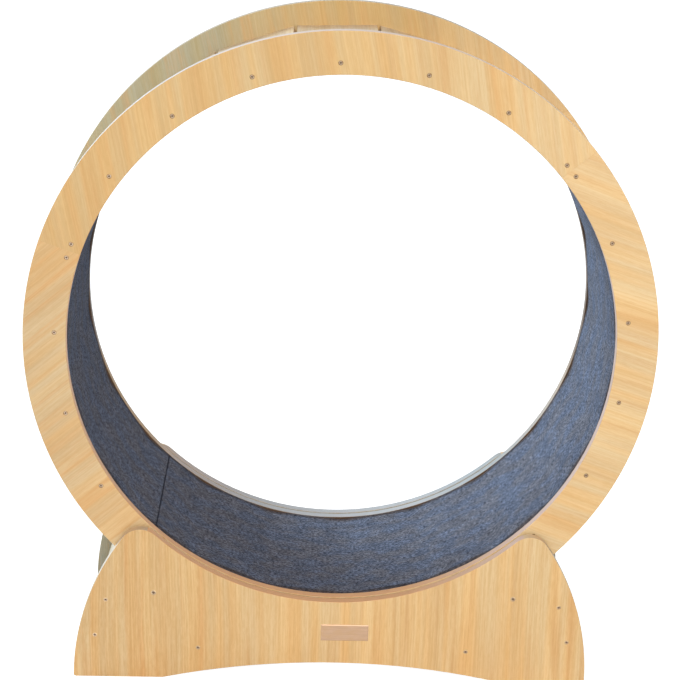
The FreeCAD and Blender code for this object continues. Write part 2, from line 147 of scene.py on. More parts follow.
def blend(tree, factor, a, b, how="MIX"):
    """Colour a turning into colour b as the factor goes from 0 to 1."""
    sockets = {"Factor": factor, 6: a, 7: b}
    return add(tree, "Mix", sockets, data_type="RGBA", blend_type=how).outputs[2]


def tinted(tree, color, tint):
    """A colour multiplied by a tint, where 1, 1, 1 leaves it as it is."""
    return blend(tree, 1.0, color, tint, "MULTIPLY")


def between(tree, factor, a, b):
    """Number a turning into number b as the factor goes from 0 to 1."""
    return add(tree, "Mix", {"Factor": factor, 2: a, 3: b}).outputs[0]


def rise(tree, value, low, high):
    """0 below low, 1 above high and a smooth ramp between them."""
    sockets = {"Value": value, "From Min": low, "From Max": high}
    return add(tree, "MapRange", sockets, interpolation_type="SMOOTHSTEP").outputs[0]


def by_place(tree, value, stops):
    """Colours laid out along a value: stops are pairs of a value and its colour, low to high."""
    low, high = stops[0][0], stops[-1][0]
    ramp = add(tree, "ValToRGB", {0: add(tree, "MapRange", {0: value, 1: low, 2: high}).outputs[0]})
    places = ramp.color_ramp.elements
    for number, (place, color) in enumerate(stops):
        share = (place - low) / (high - low)
        stop = places[number] if number < 2 else places.new(share)
        stop.position, stop.color = share, color
    return ramp.outputs[0]


def noise(tree, vector, scale, detail=2.0, rough=0.5, stretch=None):
    """Noise from 0 to 1, about 1/scale metres to a patch, stretched along its own axes."""
    if stretch:
        vector = vector_calc(tree, "MULTIPLY", vector, stretch)
    sockets = {"Vector": vector, "Scale": scale, "Detail": detail, "Roughness": rough}
    return add(tree, "TexNoise", sockets).outputs[0]


def split(tree, vector):
    """The x, y and z of a vector."""
    return add(tree, "SeparateXYZ", {0: vector}).outputs[0:3]


def join(tree, x, y, z):
    """The vector with that x, y and z."""
    return add(tree, "CombineXYZ", {0: x, 1: y, 2: z}).outputs[0]


def hypotenuse(tree, x, z):
    """How far the steps x and z lead together."""
    return calc(tree, "SQRT", plus(tree, times(tree, x, x), times(tree, z, z)))


def object_place(tree):
    """Where a point lies in the object, in metres."""
    return add(tree, "TexCoord").outputs["Object"]


# %% Helpers that start a node group or a material


def new_group(name, takes, gives, fill):
    """A node group with those inputs and outputs, filled in by the function fill."""
    group = bpy.data.node_groups.new(name, "ShaderNodeTree")
    kinds = {"vector": "NodeSocketVector", "number": "NodeSocketFloat", "color": "NodeSocketColor"}
    for socket, kind in takes.items():
        group.interface.new_socket(socket, in_out="INPUT", socket_type=kinds[kind])
    for socket, kind in gives.items():
        group.interface.new_socket(socket, in_out="OUTPUT", socket_type=kinds[kind])
    fill(group, group.nodes.new("NodeGroupInput").outputs, group.nodes.new("NodeGroupOutput").inputs)
    print(name, "group:", len(group.nodes), "nodes")
    return group


def use(tree, group, inputs):
    """A node group's outputs, for those inputs."""
    return add(tree, "Group", inputs, node_tree=group).outputs


def new_material(name):
    """An empty material, its node tree and its Principled shader."""
    material = bpy.data.materials.new(name)
    material.use_nodes = True
    tree = material.node_tree
    return material, tree, tree.nodes["Principled BSDF"]


def set_surface(tree, shader, color, roughness, height, distance, strength=1.0):
    """Links colour and roughness, and raises the shading by height times distance, in metres."""
    bumps = {"Height": height, "Distance": distance, "Strength": strength}
    tree.links.new(color, shader.inputs["Base Color"])
    tree.links.new(roughness, shader.inputs["Roughness"])
    tree.links.new(add(tree, "Bump", bumps).outputs[0], shader.inputs["Normal"])


def dress(names, material):
    """Gives CAD nodes a material in place of the plain one they came with."""
    for name in names:
        for slot in nodes[name].material_slots:
            slot.material = material


def rgb(red, green, blue):
    """A colour as a screen shows it, 0 to 255, turned into the linear values of a shader."""
    shares = [value / 255 for value in (red, green, blue)]
    return [s / 12.92 if s <= 0.04045 else ((s + 0.055) / 1.055) ** 2.4 for s in shares] + [1.0]


# %% [markdown]
# ## Wood grain
# The boards wear a light, straight-grained veneer. Close to, it has three sizes of line: bands
# as wide as a hand, streaks of a few millimetres, and hair lines with short dark pores in them.
# All of them are long and thin, so each is noise that is stretched along the grain. The group
# reads grain space: x runs along the grain, y into the board and z across the grain. Each
# board turns its own coordinates into that space, so one group serves boards that lie any way.
# Noise seldom leaves 0.3 to 0.7. A rise through its middle makes two tones of it, and a rise near
# its top picks out the few highest spots.

# %% The veneer group
MIDDLE, TOP = (0.36, 0.64), (0.60, 0.72)
SEED_STEP = 7.31
LINE_DARK, LINE_LIGHT = (0.90, 0.82, 0.69, 1), (1.06, 1.10, 1.17, 1)
NO_LINE = (1, 1, 1, 1)
WARMER, COOLER = (1.04, 1.0, 0.93, 1), (0.965, 1.0, 1.07, 1)


def fill_veneer(tree, given, result):
    """Bands, streaks, pale glints, hair lines and pores, each finer than the one before."""
    along, deep, across = split(tree, given["Grain Space"])
    shift = times(tree, given["Seed"], SEED_STEP)
    slow = noise(tree, join(tree, along, shift, across), 3.0, 1.0, stretch=(0.6, 1, 1.6))
    wander = times(tree, minus(tree, slow, 0.5), given["Fanning"])
    across = plus(tree, across, wander)
    space = join(tree, along, plus(tree, times(tree, deep, 0.2), shift), across)

    bands = noise(tree, space, 22.0, 2.0, 0.6, stretch=(0.08, 1, 1.0))
    streaks = noise(tree, space, 75.0, 2.0, 0.5, stretch=(0.04, 1, 1.0))
    glints = noise(tree, space, 260.0, 1.0, stretch=(0.02, 1, 1.0))
    warmth = noise(tree, space, 52.0, 1.0, stretch=(0.03, 1, 1.0))
    lines = noise(tree, space, 340.0, 3.0, 0.7, stretch=(0.012, 1, 1.0))
    hairs = noise(tree, space, 560.0, 2.0, 0.7, stretch=(0.12, 1, 1.0))
    pores = noise(tree, space, 1500.0, 1.0, stretch=(0.035, 1, 1.0))

    color = blend(tree, rise(tree, bands, *MIDDLE), given["Pale"], given["Honey"])
    streak = times(tree, rise(tree, streaks, 0.48, 0.72), given["Streak Share"])
    color = blend(tree, streak, color, given["Streak"])
    color = tinted(tree, color, blend(tree, rise(tree, warmth, 0.3, 0.7), COOLER, WARMER))
    fine = rise(tree, between(tree, 0.35, lines, hairs), *MIDDLE)
    line = blend(tree, given["Contrast"], NO_LINE, blend(tree, fine, LINE_DARK, LINE_LIGHT))
    color = tinted(tree, color, line)
    glint = times(tree, rise(tree, glints, *TOP), 0.5)
    color = blend(tree, glint, color, tinted(tree, color, LINE_LIGHT))
    pore = times(tree, rise(tree, pores, *TOP), rise(tree, streaks, 0.35, 0.6))
    color = blend(tree, times(tree, pore, 0.4), color, given["Streak"])

    tree.links.new(color, result["Color"])
    tree.links.new(between(tree, fine, 0.50, 0.40), result["Roughness"])
    height = minus(tree, times(tree, fine, 0.4), pore)
    tree.links.new(height, result["Height"])


veneer = new_group(
    "veneer",
    {"Grain Space": "vector", "Seed": "number", "Pale": "color", "Honey": "color",
     "Streak": "color", "Streak Share": "number", "Fanning": "number", "Contrast": "number"},
    {"Color": "color", "Roughness": "number", "Height": "number"}, fill_veneer)

# %% [markdown]
# ## Board edges
# Under its veneer the board is pressed from fine fibres. A sawn edge shows it as a plain tan
# with darker specks, a little rougher than the faces, and a thin lighter layer at each face.

# %% The edge group
VENEER_THICKNESS = 0.25 * MM


def fill_board_edge(tree, given, result):
    """Specks along the edge, and Face, which is 1 on the two veneered faces."""
    deep = split(tree, given["Grain Space"])[1]
    depth = minus(tree, given["Half Thickness"], calc(tree, "ABSOLUTE", deep))
    specks = noise(tree, given["Grain Space"], 900.0, 3.0, 0.7)
    blotches = noise(tree, given["Grain Space"], 60.0, 2.0)
    shade = plus(tree, plus(tree, times(tree, specks, 0.3), times(tree, blotches, 0.2)), 0.75)
    tree.links.new(tinted(tree, given["Color"], join(tree, shade, shade, shade)), result["Color"])
    tree.links.new(between(tree, specks, 0.38, 0.55), result["Roughness"])
    tree.links.new(specks, result["Height"])
    under_veneer = rise(tree, depth, VENEER_THICKNESS, 2 * VENEER_THICKNESS)
    tree.links.new(minus(tree, 1.0, under_veneer), result["Face"])


board_edge = new_group(
    "board_edge",
    {"Grain Space": "vector", "Color": "color", "Half Thickness": "number"},
    {"Color": "color", "Roughness": "number", "Height": "number", "Face": "number"},
    fill_board_edge)

# %% [markdown]
# ## Where the grain runs
# A Mapping node of the Texture type undoes a move and a turn. Given the middle of a board and
# the directions of its grain, it turns the object's coordinates into grain space. On the rings
# each board's grain follows the radius at its own middle, because the three arcs of a ring
# were cut from one sheet and then turned into place.

# %% Grain space for a board


def grain_space(tree, middle, along, across):
    """Object coordinates with x along the grain, y through the board and z across the grain."""
    through = across.cross(along)
    turn = Matrix((along, through, across)).transposed().to_euler()
    return add(tree, "Mapping", {"Vector": object_place(tree), "Location": middle, "Rotation": turn},
               vector_type="TEXTURE").outputs[0]


# %% [markdown]
# ## The boards' colours
# No two boards of the real thing are quite alike. Their edges are yellower at one place and greyer
# at another, which is painted light, shade and reflection laid out by place. A colour that changes
# from left to right is a list of pairs: x in metres, and the colour there.

# %% Colours of faces and edges
PALE = rgb(232, 197, 146)
HONEY = rgb(226, 185, 130)
STREAK = rgb(212, 160, 100)
EDGE_PLAIN = rgb(208, 178, 142)
# A grey that paints the reflection on the lit middle of the rear bore.
EDGE_GREY_PAINTED_REFLECTION = rgb(182, 182, 184)
RAW_WOOD = rgb(150, 112, 80)
# The front rim's colours by x are partly painted reflection, greyer and bluer at the left.
FRONT_RIM_PAINTED_REFLECTION = [(-0.3, rgb(206, 198, 196)), (0.1, rgb(224, 200, 184)), (0.3, rgb(232, 212, 190))]
REAR_RIM = rgb(192, 182, 168)
# The bores' colours by x are painted light and shade: browner where a bore lies in shade, greyer where
# it mirrors the light.
FRONT_BORE_PAINTED_LIGHT = [(-0.3, rgb(235, 174, 116)), (0.02, rgb(234, 173, 116)), (0.12, rgb(222, 164, 112)),
              (0.24, rgb(210, 168, 138)), (0.32, rgb(209, 175, 158))]
REAR_BORE_PAINTED_LIGHT = [(-0.40, rgb(188, 148, 94)), (-0.33, rgb(192, 156, 112)), (-0.28, rgb(196, 178, 168)),
             (-0.15, EDGE_GREY_PAINTED_REFLECTION), (0.15, EDGE_GREY_PAINTED_REFLECTION), (0.28, rgb(157, 160, 161)),
             (0.36, rgb(165, 152, 142)), (0.42, rgb(176, 150, 126))]
# Painted shade for the rear bore's upper part.
REAR_BORE_PAINTED_SHADE = rgb(100, 76, 58)

# %% One board's surface
GRAIN_DEPTH, GRAIN_STRENGTH = 0.05 * MM, 0.6
LACQUER, LACQUER_ROUGHNESS = 0.12, 0.35


def look_of(seed, pale, honey, streak_share, contrast, streak=STREAK, fanning=0.03):
    """What the veneer group takes beside the grain space."""
    return {"Seed": seed, "Pale": pale, "Honey": honey, "Streak": streak,
            "Streak Share": streak_share, "Fanning": fanning, "Contrast": contrast}


def finish_board(tree, shader, space, edge_color, half_thickness, look):
    """Joins veneer and edge into one board surface, under a thin lacquer."""
    face = use(tree, veneer, {"Grain Space": space, **look})
    edge = use(tree, board_edge,
               {"Grain Space": space, "Color": edge_color, "Half Thickness": half_thickness})
    on_face = edge["Face"]
    set_surface(tree, shader, blend(tree, on_face, edge["Color"], face["Color"]),
                between(tree, on_face, edge["Roughness"], face["Roughness"]),
                between(tree, on_face, edge["Height"], face["Height"]), GRAIN_DEPTH, GRAIN_STRENGTH)
    shader.inputs["Coat Weight"].default_value = LACQUER
    shader.inputs["Coat Roughness"].default_value = LACQUER_ROUGHNESS


# %% [markdown]
# ## Two sides of a board
# The better veneer faces outwards. The side that faces the drum is duller, and painted light and
# shade lie on it: grey at the left, tan in the middle and pale at the right, as the wheel stands.
# Between the bore and the slats, by the felt's edge, it is painted dark as shade. The sides are told
# apart by their distance from the wheel's middle plane, so the rounded corners keep the outer
# veneer's colour.

# %% The duller veneer on the drum's side, with painted light and shade
# Grey at the left and pale at the right: painted shade and light on the duller veneer.
DULL_GREY_PAINTED_SHADE, DULL_TAN, DULL_PALE_PAINTED_LIGHT = rgb(175, 168, 140), rgb(208, 178, 124), rgb(232, 198, 146)
GREY_TO_TAN, TAN_TO_PALE = (-0.28, -0.02), (0.02, 0.32)
DULL_HONEY_TINT = (0.95, 0.93, 0.88, 1)
# Painted shade for the drum side's strip between the bore and the slats.
PAINTED_SHADE_BROWN = rgb(94, 72, 56)
FACE_TOLERANCE = 0.3 * MM


def drum_side(tree, object_y, node):
    """1 on the face of a board that looks at the drum."""
    low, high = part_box(node)
    face = min(abs(low.y), abs(high.y)) + FACE_TOLERANCE
    return calc(tree, "LESS_THAN", calc(tree, "ABSOLUTE", object_y), face)


def dull_veneer_painted_light(tree, object_x):
    """The duller side's colour, by how far to the right it lies: painted shade to the left, painted
    light to the right.
    """
    color = blend(tree, rise(tree, object_x, *GREY_TO_TAN), DULL_GREY_PAINTED_SHADE, DULL_TAN)
    return blend(tree, rise(tree, object_x, *TAN_TO_PALE), color, DULL_PALE_PAINTED_LIGHT)


# %% The rings' boards
EDGE_REACH = 2 * MM
# The rear bore turns to painted shade between these heights.
BORE_SHADE_STARTS, BORE_SHADE_FULL = AXIS.z - 0.16, AXIS.z - 0.09
STREAK_SHARES = {1: 0.3, 2: 0.6, 3: 0.35}
# A tint for each board, by x: partly the board's own tone, partly painted light and shade.
TONES = {1: [(-0.05, (0.83, 0.81, 0.71, 1)), (0.36, (0.98, 0.99, 0.96, 1))],
         2: [(-0.47, (0.82, 0.82, 0.81, 1)), (-0.33, (0.91, 0.92, 0.93, 1))],
         3: [(0.0, (1.01, 1.03, 1.03, 1)), (0.45, (1.01, 1.04, 1.05, 1))]}


def ring_material(side, number):
    """The surface of one ring board. Its grain follows the radius at the board's middle."""
    node = f"{side}_ring_segment_{number}"
    material, tree, shader = new_material("wood_" + node)
    low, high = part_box(node)
    turn = turn_of(node)
    along = Vector((math.cos(turn), 0, math.sin(turn)))
    across = Vector((-math.sin(turn), 0, math.cos(turn)))
    space = grain_space(tree, Vector((AXIS.x, (low.y + high.y) / 2, AXIS.z)), along, across)
    x, _, z = split(tree, space)
    radius = hypotenuse(tree, x, z)
    object_x, object_y, object_z = split(tree, object_place(tree))

    rim = calc(tree, "GREATER_THAN", radius, RING_OUTER - EDGE_REACH)
    bore = calc(tree, "LESS_THAN", radius, RING_INNER + EDGE_REACH)
    # Rim and bore colours by x are painted reflection, light and shade.
    rim_color = by_place(tree, object_x, FRONT_RIM_PAINTED_REFLECTION) if side == "front" else REAR_RIM
    bore_color = by_place(tree, object_x, FRONT_BORE_PAINTED_LIGHT if side == "front" else REAR_BORE_PAINTED_LIGHT)
    # The rear bore is painted shade from a little below the axis upwards.
    if side == "rear":
        above = rise(tree, object_z, BORE_SHADE_STARTS, BORE_SHADE_FULL)
        bore_color = blend(tree, above, bore_color, REAR_BORE_PAINTED_SHADE)
    edge_color = blend(tree, rim, blend(tree, bore, RAW_WOOD, bore_color), rim_color)

    inside = drum_side(tree, object_y, node)
    # The drum side's strip inside the slats is painted shade, with no streaks.
    painted_shade_strip = times(tree, inside, calc(tree, "LESS_THAN", radius, SLAT_FACE))
    drum_side_color = blend(tree, painted_shade_strip, dull_veneer_painted_light(tree, object_x), PAINTED_SHADE_BROWN)
    # A tint by x: partly the board's own tone, partly painted light and shade.
    tint_with_shade = by_place(tree, object_x, TONES[number])
    # On the drum side the duller veneer carries painted light and shade.
    pale = blend(tree, inside, tinted(tree, PALE, tint_with_shade), drum_side_color)
    honey = blend(tree, inside, tinted(tree, HONEY, tint_with_shade), tinted(tree, drum_side_color, DULL_HONEY_TINT))
    streak_share = between(tree, painted_shade_strip, STREAK_SHARES[number], 0.0)
    seed = number + (3 if side == "rear" else 0)
    look = look_of(seed, pale, honey, streak_share, contrast=0.55)
    finish_board(tree, shader, space, edge_color, (high.y - low.y) / 2, look)
    return material


for side in ("front", "rear"):
    for number in (1, 2, 3):
        dress([f"{side}_ring_segment_{number}"], ring_material(side, number))
print("ring boards dressed")

# %% The base's panels
UP, RIGHT = Vector((0, 0, 1)), Vector((1, 0, 0))
PANEL_LEAN = math.radians(0.8)
CRADLE_REACH, CORNER_REACH = 3 * MM, 1 * MM
# The drum side's olive greys: partly a duller veneer, partly painted shade.
DULL_OLIVE_AND_SHADE, DARK_OLIVE_AND_SHADE = rgb(168, 164, 144), rgb(160, 156, 137)
DEEP_HONEY = rgb(220, 176, 120)
# The outer edges grow greyer to both sides: painted reflection.
OUTER_EDGES_PAINTED_REFLECTION = [(0.335, EDGE_PLAIN), (0.36, rgb(192, 178, 160))]
# Darker and greyer to the left: partly the panel's own tone, partly painted shade.
LEFT_TINT, RIGHT_TINT = (0.90, 0.935, 0.94, 1), (1.0, 1.0, 0.95, 1)
LEFT_TO_RIGHT = (-0.32, 0.06)


def panel_material(node, seed, lean, cradle_colors):
    """The surface of a base panel. cradle_colors are the painted light and shade along the edge that
    follows the ring. The outer edges turn greyer to both sides, as painted reflection."""
    material, tree, shader = new_material("wood_" + node)
    low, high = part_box(node)
    along = UP * math.cos(lean) - RIGHT * math.sin(lean)
    across = RIGHT * math.cos(lean) + UP * math.sin(lean)
    space = grain_space(tree, (low + high) / 2, along, across)
    object_x, object_y, object_z = split(tree, object_place(tree))
    inside = drum_side(tree, object_y, node)
    radius = hypotenuse(tree, object_x, minus(tree, object_z, AXIS.z))
    cradle_radius = radii(node)[0]
    in_cradle = calc(tree, "LESS_THAN", radius, cradle_radius + CRADLE_REACH)
    # Within a millimetre of the cradle the drum side takes the edge's colour, which hides a light line
    # of veneer there.
    edge_coloured_corner = calc(tree, "LESS_THAN", radius, cradle_radius + CORNER_REACH)
    # Edge colours by x: painted reflection, light and shade.
    outer_edge = by_place(tree, calc(tree, "ABSOLUTE", object_x), OUTER_EDGES_PAINTED_REFLECTION)
    edge_color = blend(tree, in_cradle, outer_edge, by_place(tree, object_x, cradle_colors))

    # The left-to-right tint is partly the panel's tone and partly painted shade.
    to_right = rise(tree, object_x, *LEFT_TO_RIGHT)
    tint_with_shade = blend(tree, to_right, LEFT_TINT, RIGHT_TINT)
    pale = tinted(tree, blend(tree, to_right, HONEY, PALE), tint_with_shade)
    honey = tinted(tree, blend(tree, to_right, DEEP_HONEY, HONEY), tint_with_shade)
    # The drum side is olive grey, partly painted shade.
    drum_side_pale = blend(tree, edge_coloured_corner, DULL_OLIVE_AND_SHADE, edge_color)
    drum_side_honey = blend(tree, edge_coloured_corner, DARK_OLIVE_AND_SHADE, edge_color)
    look = look_of(seed, blend(tree, inside, pale, drum_side_pale), blend(tree, inside, honey, drum_side_honey),
                   streak_share=between(tree, inside, 0.5, 0.1),
                   contrast=between(tree, to_right, 1.0, 0.75))
    finish_board(tree, shader, space, edge_color, (high.y - low.y) / 2, look)
    return material


dress(["base_front_panel"], panel_material("base_front_panel", 11, PANEL_LEAN, FRONT_BORE_PAINTED_LIGHT))
dress(["base_rear_panel"], panel_material("base_rear_panel", 12, 0.0, REAR_BORE_PAINTED_LIGHT))

# %% Boards and rails between the panels
BACKWARDS = Vector((0, 1, 0))
# The cross boards wear a duller veneer than the rails.
DULL_SILVER, DULL_SAND = rgb(190, 182, 164), rgb(182, 168, 142)


def width_direction(corners, middle):
    """The direction across Y in which the corners lie widest apart."""
    wide = sum((corner.x - middle.x) ** 2 - (corner.z - middle.z) ** 2 for corner in corners)
    slant = sum((corner.x - middle.x) * (corner.z - middle.z) for corner in corners)
    lean = math.atan2(2 * slant, wide) / 2
    return Vector((math.cos(lean), 0, math.sin(lean)))


def inner_board_material(node, seed, pale, honey):
    """A board that runs from panel to panel, its grain along it."""
    material, tree, shader = new_material("wood_" + node)
    corners = [vertex.co for vertex in nodes[node].data.vertices]
    middle = sum(corners, Vector()) / len(corners)
    across = width_direction(corners, middle)
    through = across.cross(BACKWARDS)
    half_thickness = max((corner - middle).dot(through) for corner in corners)
    space = grain_space(tree, middle, BACKWARDS, across)
    look = look_of(seed, pale, honey, streak_share=0.4, contrast=0.8, fanning=0.04)
    finish_board(tree, shader, space, EDGE_PLAIN, half_thickness, look)
    print(node, "is", round(2 * half_thickness, 4), "thick")
    return material


seed = 20
for part, pale, honey in (("cross_board", DULL_SILVER, DULL_SAND), ("bottom_rail", PALE, HONEY)):
    for side in ("left", "right"):
        dress([f"{side}_{part}"], inner_board_material(f"{side}_{part}", seed, pale, honey))
        seed += 1

# %% The slats


def slat_space(tree):
    """Grain space for all slats at once: along Y, out from the axis, and round the wheel."""
    x, y, z = split(tree, vector_calc(tree, "SUBTRACT", object_place(tree), AXIS))
    turn = minus(tree, calc(tree, "ARCTAN2", z, x), FIRST_SLAT_TURN - PITCH / 2)
    turns = calc(tree, "DIVIDE", plus(tree, turn, math.tau), PITCH)
    number = calc(tree, "FLOOR", turns)
    angle = times(tree, minus(tree, minus(tree, turns, number), 0.5), PITCH)
    reach = hypotenuse(tree, x, z)
    out = times(tree, reach, calc(tree, "COSINE", angle))
    side = times(tree, reach, calc(tree, "SINE", angle))
    deep = minus(tree, out, (SLAT_FACE + SLAT_BACK) / 2)
    return join(tree, y, deep, side), calc(tree, "MODULO", number, float(len(SLATS)))


slat_wood, tree, shader = new_material("wood_slats")
space, slat_number = slat_space(tree)
look = look_of(slat_number, rgb(219, 198, 169), rgb(208, 184, 151), streak_share=0.3,
               contrast=0.6, streak=rgb(196, 168, 134))
finish_board(tree, shader, space, EDGE_PLAIN, (SLAT_BACK - SLAT_FACE) / 2, look)
dress(SLATS, slat_wood)

# %% Dowels
dowel_wood, tree, shader = new_material("dowel_wood")
low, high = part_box("rail_dowels")
space = grain_space(tree, (low + high) / 2, BACKWARDS, UP)
look = look_of(31, rgb(226, 194, 150), rgb(208, 170, 124), streak_share=0.3, contrast=0.6,
               fanning=0.01)
grain = use(tree, veneer, {"Grain Space": space, **look})
set_surface(tree, shader, grain["Color"], grain["Roughness"], grain["Height"], GRAIN_DEPTH)
dress(["rail_dowels"], dowel_wood)

# %% [markdown]
# ## Metal and plastic
# Small metal parts look right when their gloss is uneven. One group gives fine scratches and
# faint stains, and each metal sets its own colour and how rough it is.

# %% The handled metal group
SCRATCH_DEPTH = 0.01 * MM


def fill_handled(tree, given, result):
    """Stains that dull the metal here and there, and fine scratches that run along Y."""
    stains = rise(tree, noise(tree, given["Vector"], 320.0, 4.0, 0.6), 0.45, 0.75)
    scratches = noise(tree, given["Vector"], 2600.0, 2.0, 0.6, stretch=(1, 0.15, 1))
    color = blend(tree, times(tree, stains, 0.5), given["Color"], given["Stain"])
    tree.links.new(color, result["Color"])
    rough = plus(tree, given["Roughness"], times(tree, stains, 0.15))
    rough = plus(tree, rough, times(tree, scratches, 0.12))
    tree.links.new(rough, result["Roughness"])
    tree.links.new(scratches, result["Height"])


handled = new_group(
    "handled_metal",
    {"Vector": "vector", "Color": "color", "Stain": "color", "Roughness": "number"},
    {"Color": "color", "Roughness": "number", "Height": "number"}, fill_handled)

# %% Bare metal parts


def metal(name, color, stain, roughness):
    """A bare metal. Its roughness is the one where it is clean."""
    material, tree, shader = new_material(name)
    surface = use(tree, handled, {"Vector": object_place(tree), "Color": color, "Stain": stain,
                                  "Roughness": roughness})
    set_surface(tree, shader, surface["Color"], surface["Roughness"], surface["Height"],
                SCRATCH_DEPTH)
    shader.inputs["Metallic"].default_value = 1.0
    return material


zinc_steel = metal("zinc_steel", rgb(196, 198, 200), rgb(150, 150, 146), 0.34)
bearing_steel = metal("bearing_steel", rgb(214, 215, 217), rgb(176, 176, 178), 0.16)
dress(["roller_spacers", "roller_washers", "roller_lock_nuts"], zinc_steel)
CORNERS = [f"{end}_{side}" for end in ("front", "rear") for side in ("left", "right")]
dress(["bearing_inner_rings"] + [f"{corner}_bearing_{part}" for corner in CORNERS
                                 for part in ("outer_ring", "balls")], bearing_steel)

# %% The rollers' nylon
tyre_nylon, tree, shader = new_material("tyre_nylon")
where = object_place(tree)
color = blend(tree, noise(tree, where, 140.0, 3.0), rgb(206, 204, 196), rgb(226, 224, 216))
roughness = between(tree, noise(tree, where, 900.0, 3.0), 0.34, 0.5)
set_surface(tree, shader, color, roughness, noise(tree, where, 2400.0, 2.0), SCRATCH_DEPTH)
shader.inputs["Subsurface Weight"].default_value = 0.1
shader.inputs["Subsurface Scale"].default_value = 2 * MM
dress([f"{corner}_tyre" for corner in CORNERS], tyre_nylon)

# %% [markdown]
# ## Countersunk screws
# Forty-eight screws hold the rings, twelve the base, and four more are the rollers' axles. A
# screw is made from its tip upwards: a small disc is extruded and widened, step by step, into
# point, shank and cone. Two tapered bars, cut out with Boolean modifiers, leave the cross in its
# head. One screw of each kind is modelled, and its copies go where the CAD screws are.

# %% Modelling helpers


def finish_with(piece, kind, **settings):
    """Adds a modifier, sets it and applies it."""
    bpy.context.view_layer.objects.active = piece
    modifier = piece.modifiers.new(kind.lower(), kind)
    for name, value in settings.items():
        setattr(modifier, name, value)
    bpy.ops.object.modifier_apply(modifier=modifier.name)


def pick(mesh_object, wanted_face=None, wanted_edge=None):
    """In edit mode, selects only the faces or the edges that the test picks."""
    bpy.ops.mesh.select_all(action="DESELECT")
    bpy.ops.object.mode_set(mode="OBJECT")
    mesh = mesh_object.data
    if wanted_face:
        for polygon in mesh.polygons:
            polygon.select = wanted_face(polygon)
    if wanted_edge:
        for edge in mesh.edges:
            edge.select = wanted_edge(*(mesh.vertices[i].co for i in edge.vertices))
    bpy.ops.object.mode_set(mode="EDIT")


# %% One wing of the cross recess
RECESS_TAPER = 0.6


def recess_wing(span, width, depth, turn):
    """A bar across the head that narrows with depth, to be cut out of it."""
    bpy.ops.object.select_all(action="DESELECT")
    bpy.ops.mesh.primitive_cube_add(size=1, rotation=(0, turn, 0))
    bar = bpy.context.object
    bar.scale = (span, 2 * depth, width)
    bpy.ops.object.transform_apply(location=True, rotation=True, scale=True)
    bpy.ops.object.mode_set(mode="EDIT")
    bpy.ops.mesh.select_mode(type="FACE")
    pick(bar, wanted_face=lambda polygon: polygon.center.y > 0.9 * depth)
    bpy.ops.transform.resize(value=(RECESS_TAPER, 1, RECESS_TAPER))
    bpy.ops.object.mode_set(mode="OBJECT")
    return bar


# %% A countersunk screw
SCREW_SIDES = 28
HEAD_RIM = 0.1 * MM
HEAD_ROUNDING = 0.15 * MM
RECESS_SPAN, RECESS_WIDTH, RECESS_DEPTH = 1.15, 0.42, 0.6


def countersunk_screw(head, shank, length, point, tip):
    """A screw that points backwards, its head's face at the origin. head, shank and tip are
    radii, and the cone under the head slopes by 45 degrees."""
    bpy.ops.object.select_all(action="DESELECT")
    bpy.ops.mesh.primitive_circle_add(vertices=SCREW_SIDES, radius=tip, fill_type="NGON",
                                      location=(0, length, 0), rotation=(math.pi / 2, 0, 0))
    screw = bpy.context.object
    bpy.ops.object.transform_apply(location=True, rotation=True, scale=True)
    bpy.ops.object.mode_set(mode="EDIT")
    y_now, radius_now = length, tip
    steps = ((length - point, shank), (head - shank, shank), (HEAD_RIM, head), (0, head))
    for y_next, radius_next in steps:
        bpy.ops.mesh.extrude_region_move(TRANSFORM_OT_translate={"value": (0, y_next - y_now, 0)})
        widen = radius_next / radius_now
        bpy.ops.transform.resize(value=(widen, 1, widen))
        y_now, radius_now = y_next, radius_next
    bpy.ops.mesh.select_all(action="SELECT")
    bpy.ops.mesh.normals_make_consistent(inside=False)
    bpy.ops.object.mode_set(mode="OBJECT")
    for turn in (0, math.pi / 2):
        bar = recess_wing(RECESS_SPAN * head, RECESS_WIDTH * head, RECESS_DEPTH * (head - shank), turn)
        finish_with(screw, "BOOLEAN", operation="DIFFERENCE", object=bar, solver="EXACT")
        bpy.data.objects.remove(bar)
    finish_with(screw, "BEVEL", width=HEAD_ROUNDING, segments=2, angle_limit=math.radians(40))
    bpy.ops.object.select_all(action="DESELECT")
    screw.select_set(True)
    bpy.ops.object.shade_smooth_by_angle(angle=math.radians(35))
    head_map = screw.data.uv_layers.new(name="across_and_into_head")
    for loop in screw.data.loops:
        corner = screw.data.vertices[loop.vertex_index].co
        head_map.data[loop.index].uv = (math.hypot(corner.x, corner.z) / head, corner.y / head)
    return screw


# %% Copies of it where the CAD screws are
HEAD_SPAN_LIMIT = 12 * MM
SAME_FACE = 0.02 * MM


def screw_heads(node):
    """Each CAD screw of a node: the middle of its head's face, and its head's radius."""
    corners = [vertex.co for vertex in nodes[node].data.vertices]
    reach = max(abs(corner.y) for corner in corners)
    heads = []
    for corner in [corner for corner in corners if abs(corner.y) > reach - SAME_FACE]:
        near = [head for head in heads if (head[0] - corner).length < HEAD_SPAN_LIMIT]
        if near:
            near[0].append(corner)
        else:
            heads.append([corner])
    places = []
    for head in heads:
        xs, zs = [corner.x for corner in head], [corner.z for corner in head]
        middle = Vector(((min(xs) + max(xs)) / 2, head[0].y, (min(zs) + max(zs)) / 2))
        places.append((middle, (max(xs) - min(xs)) / 2))
    return places


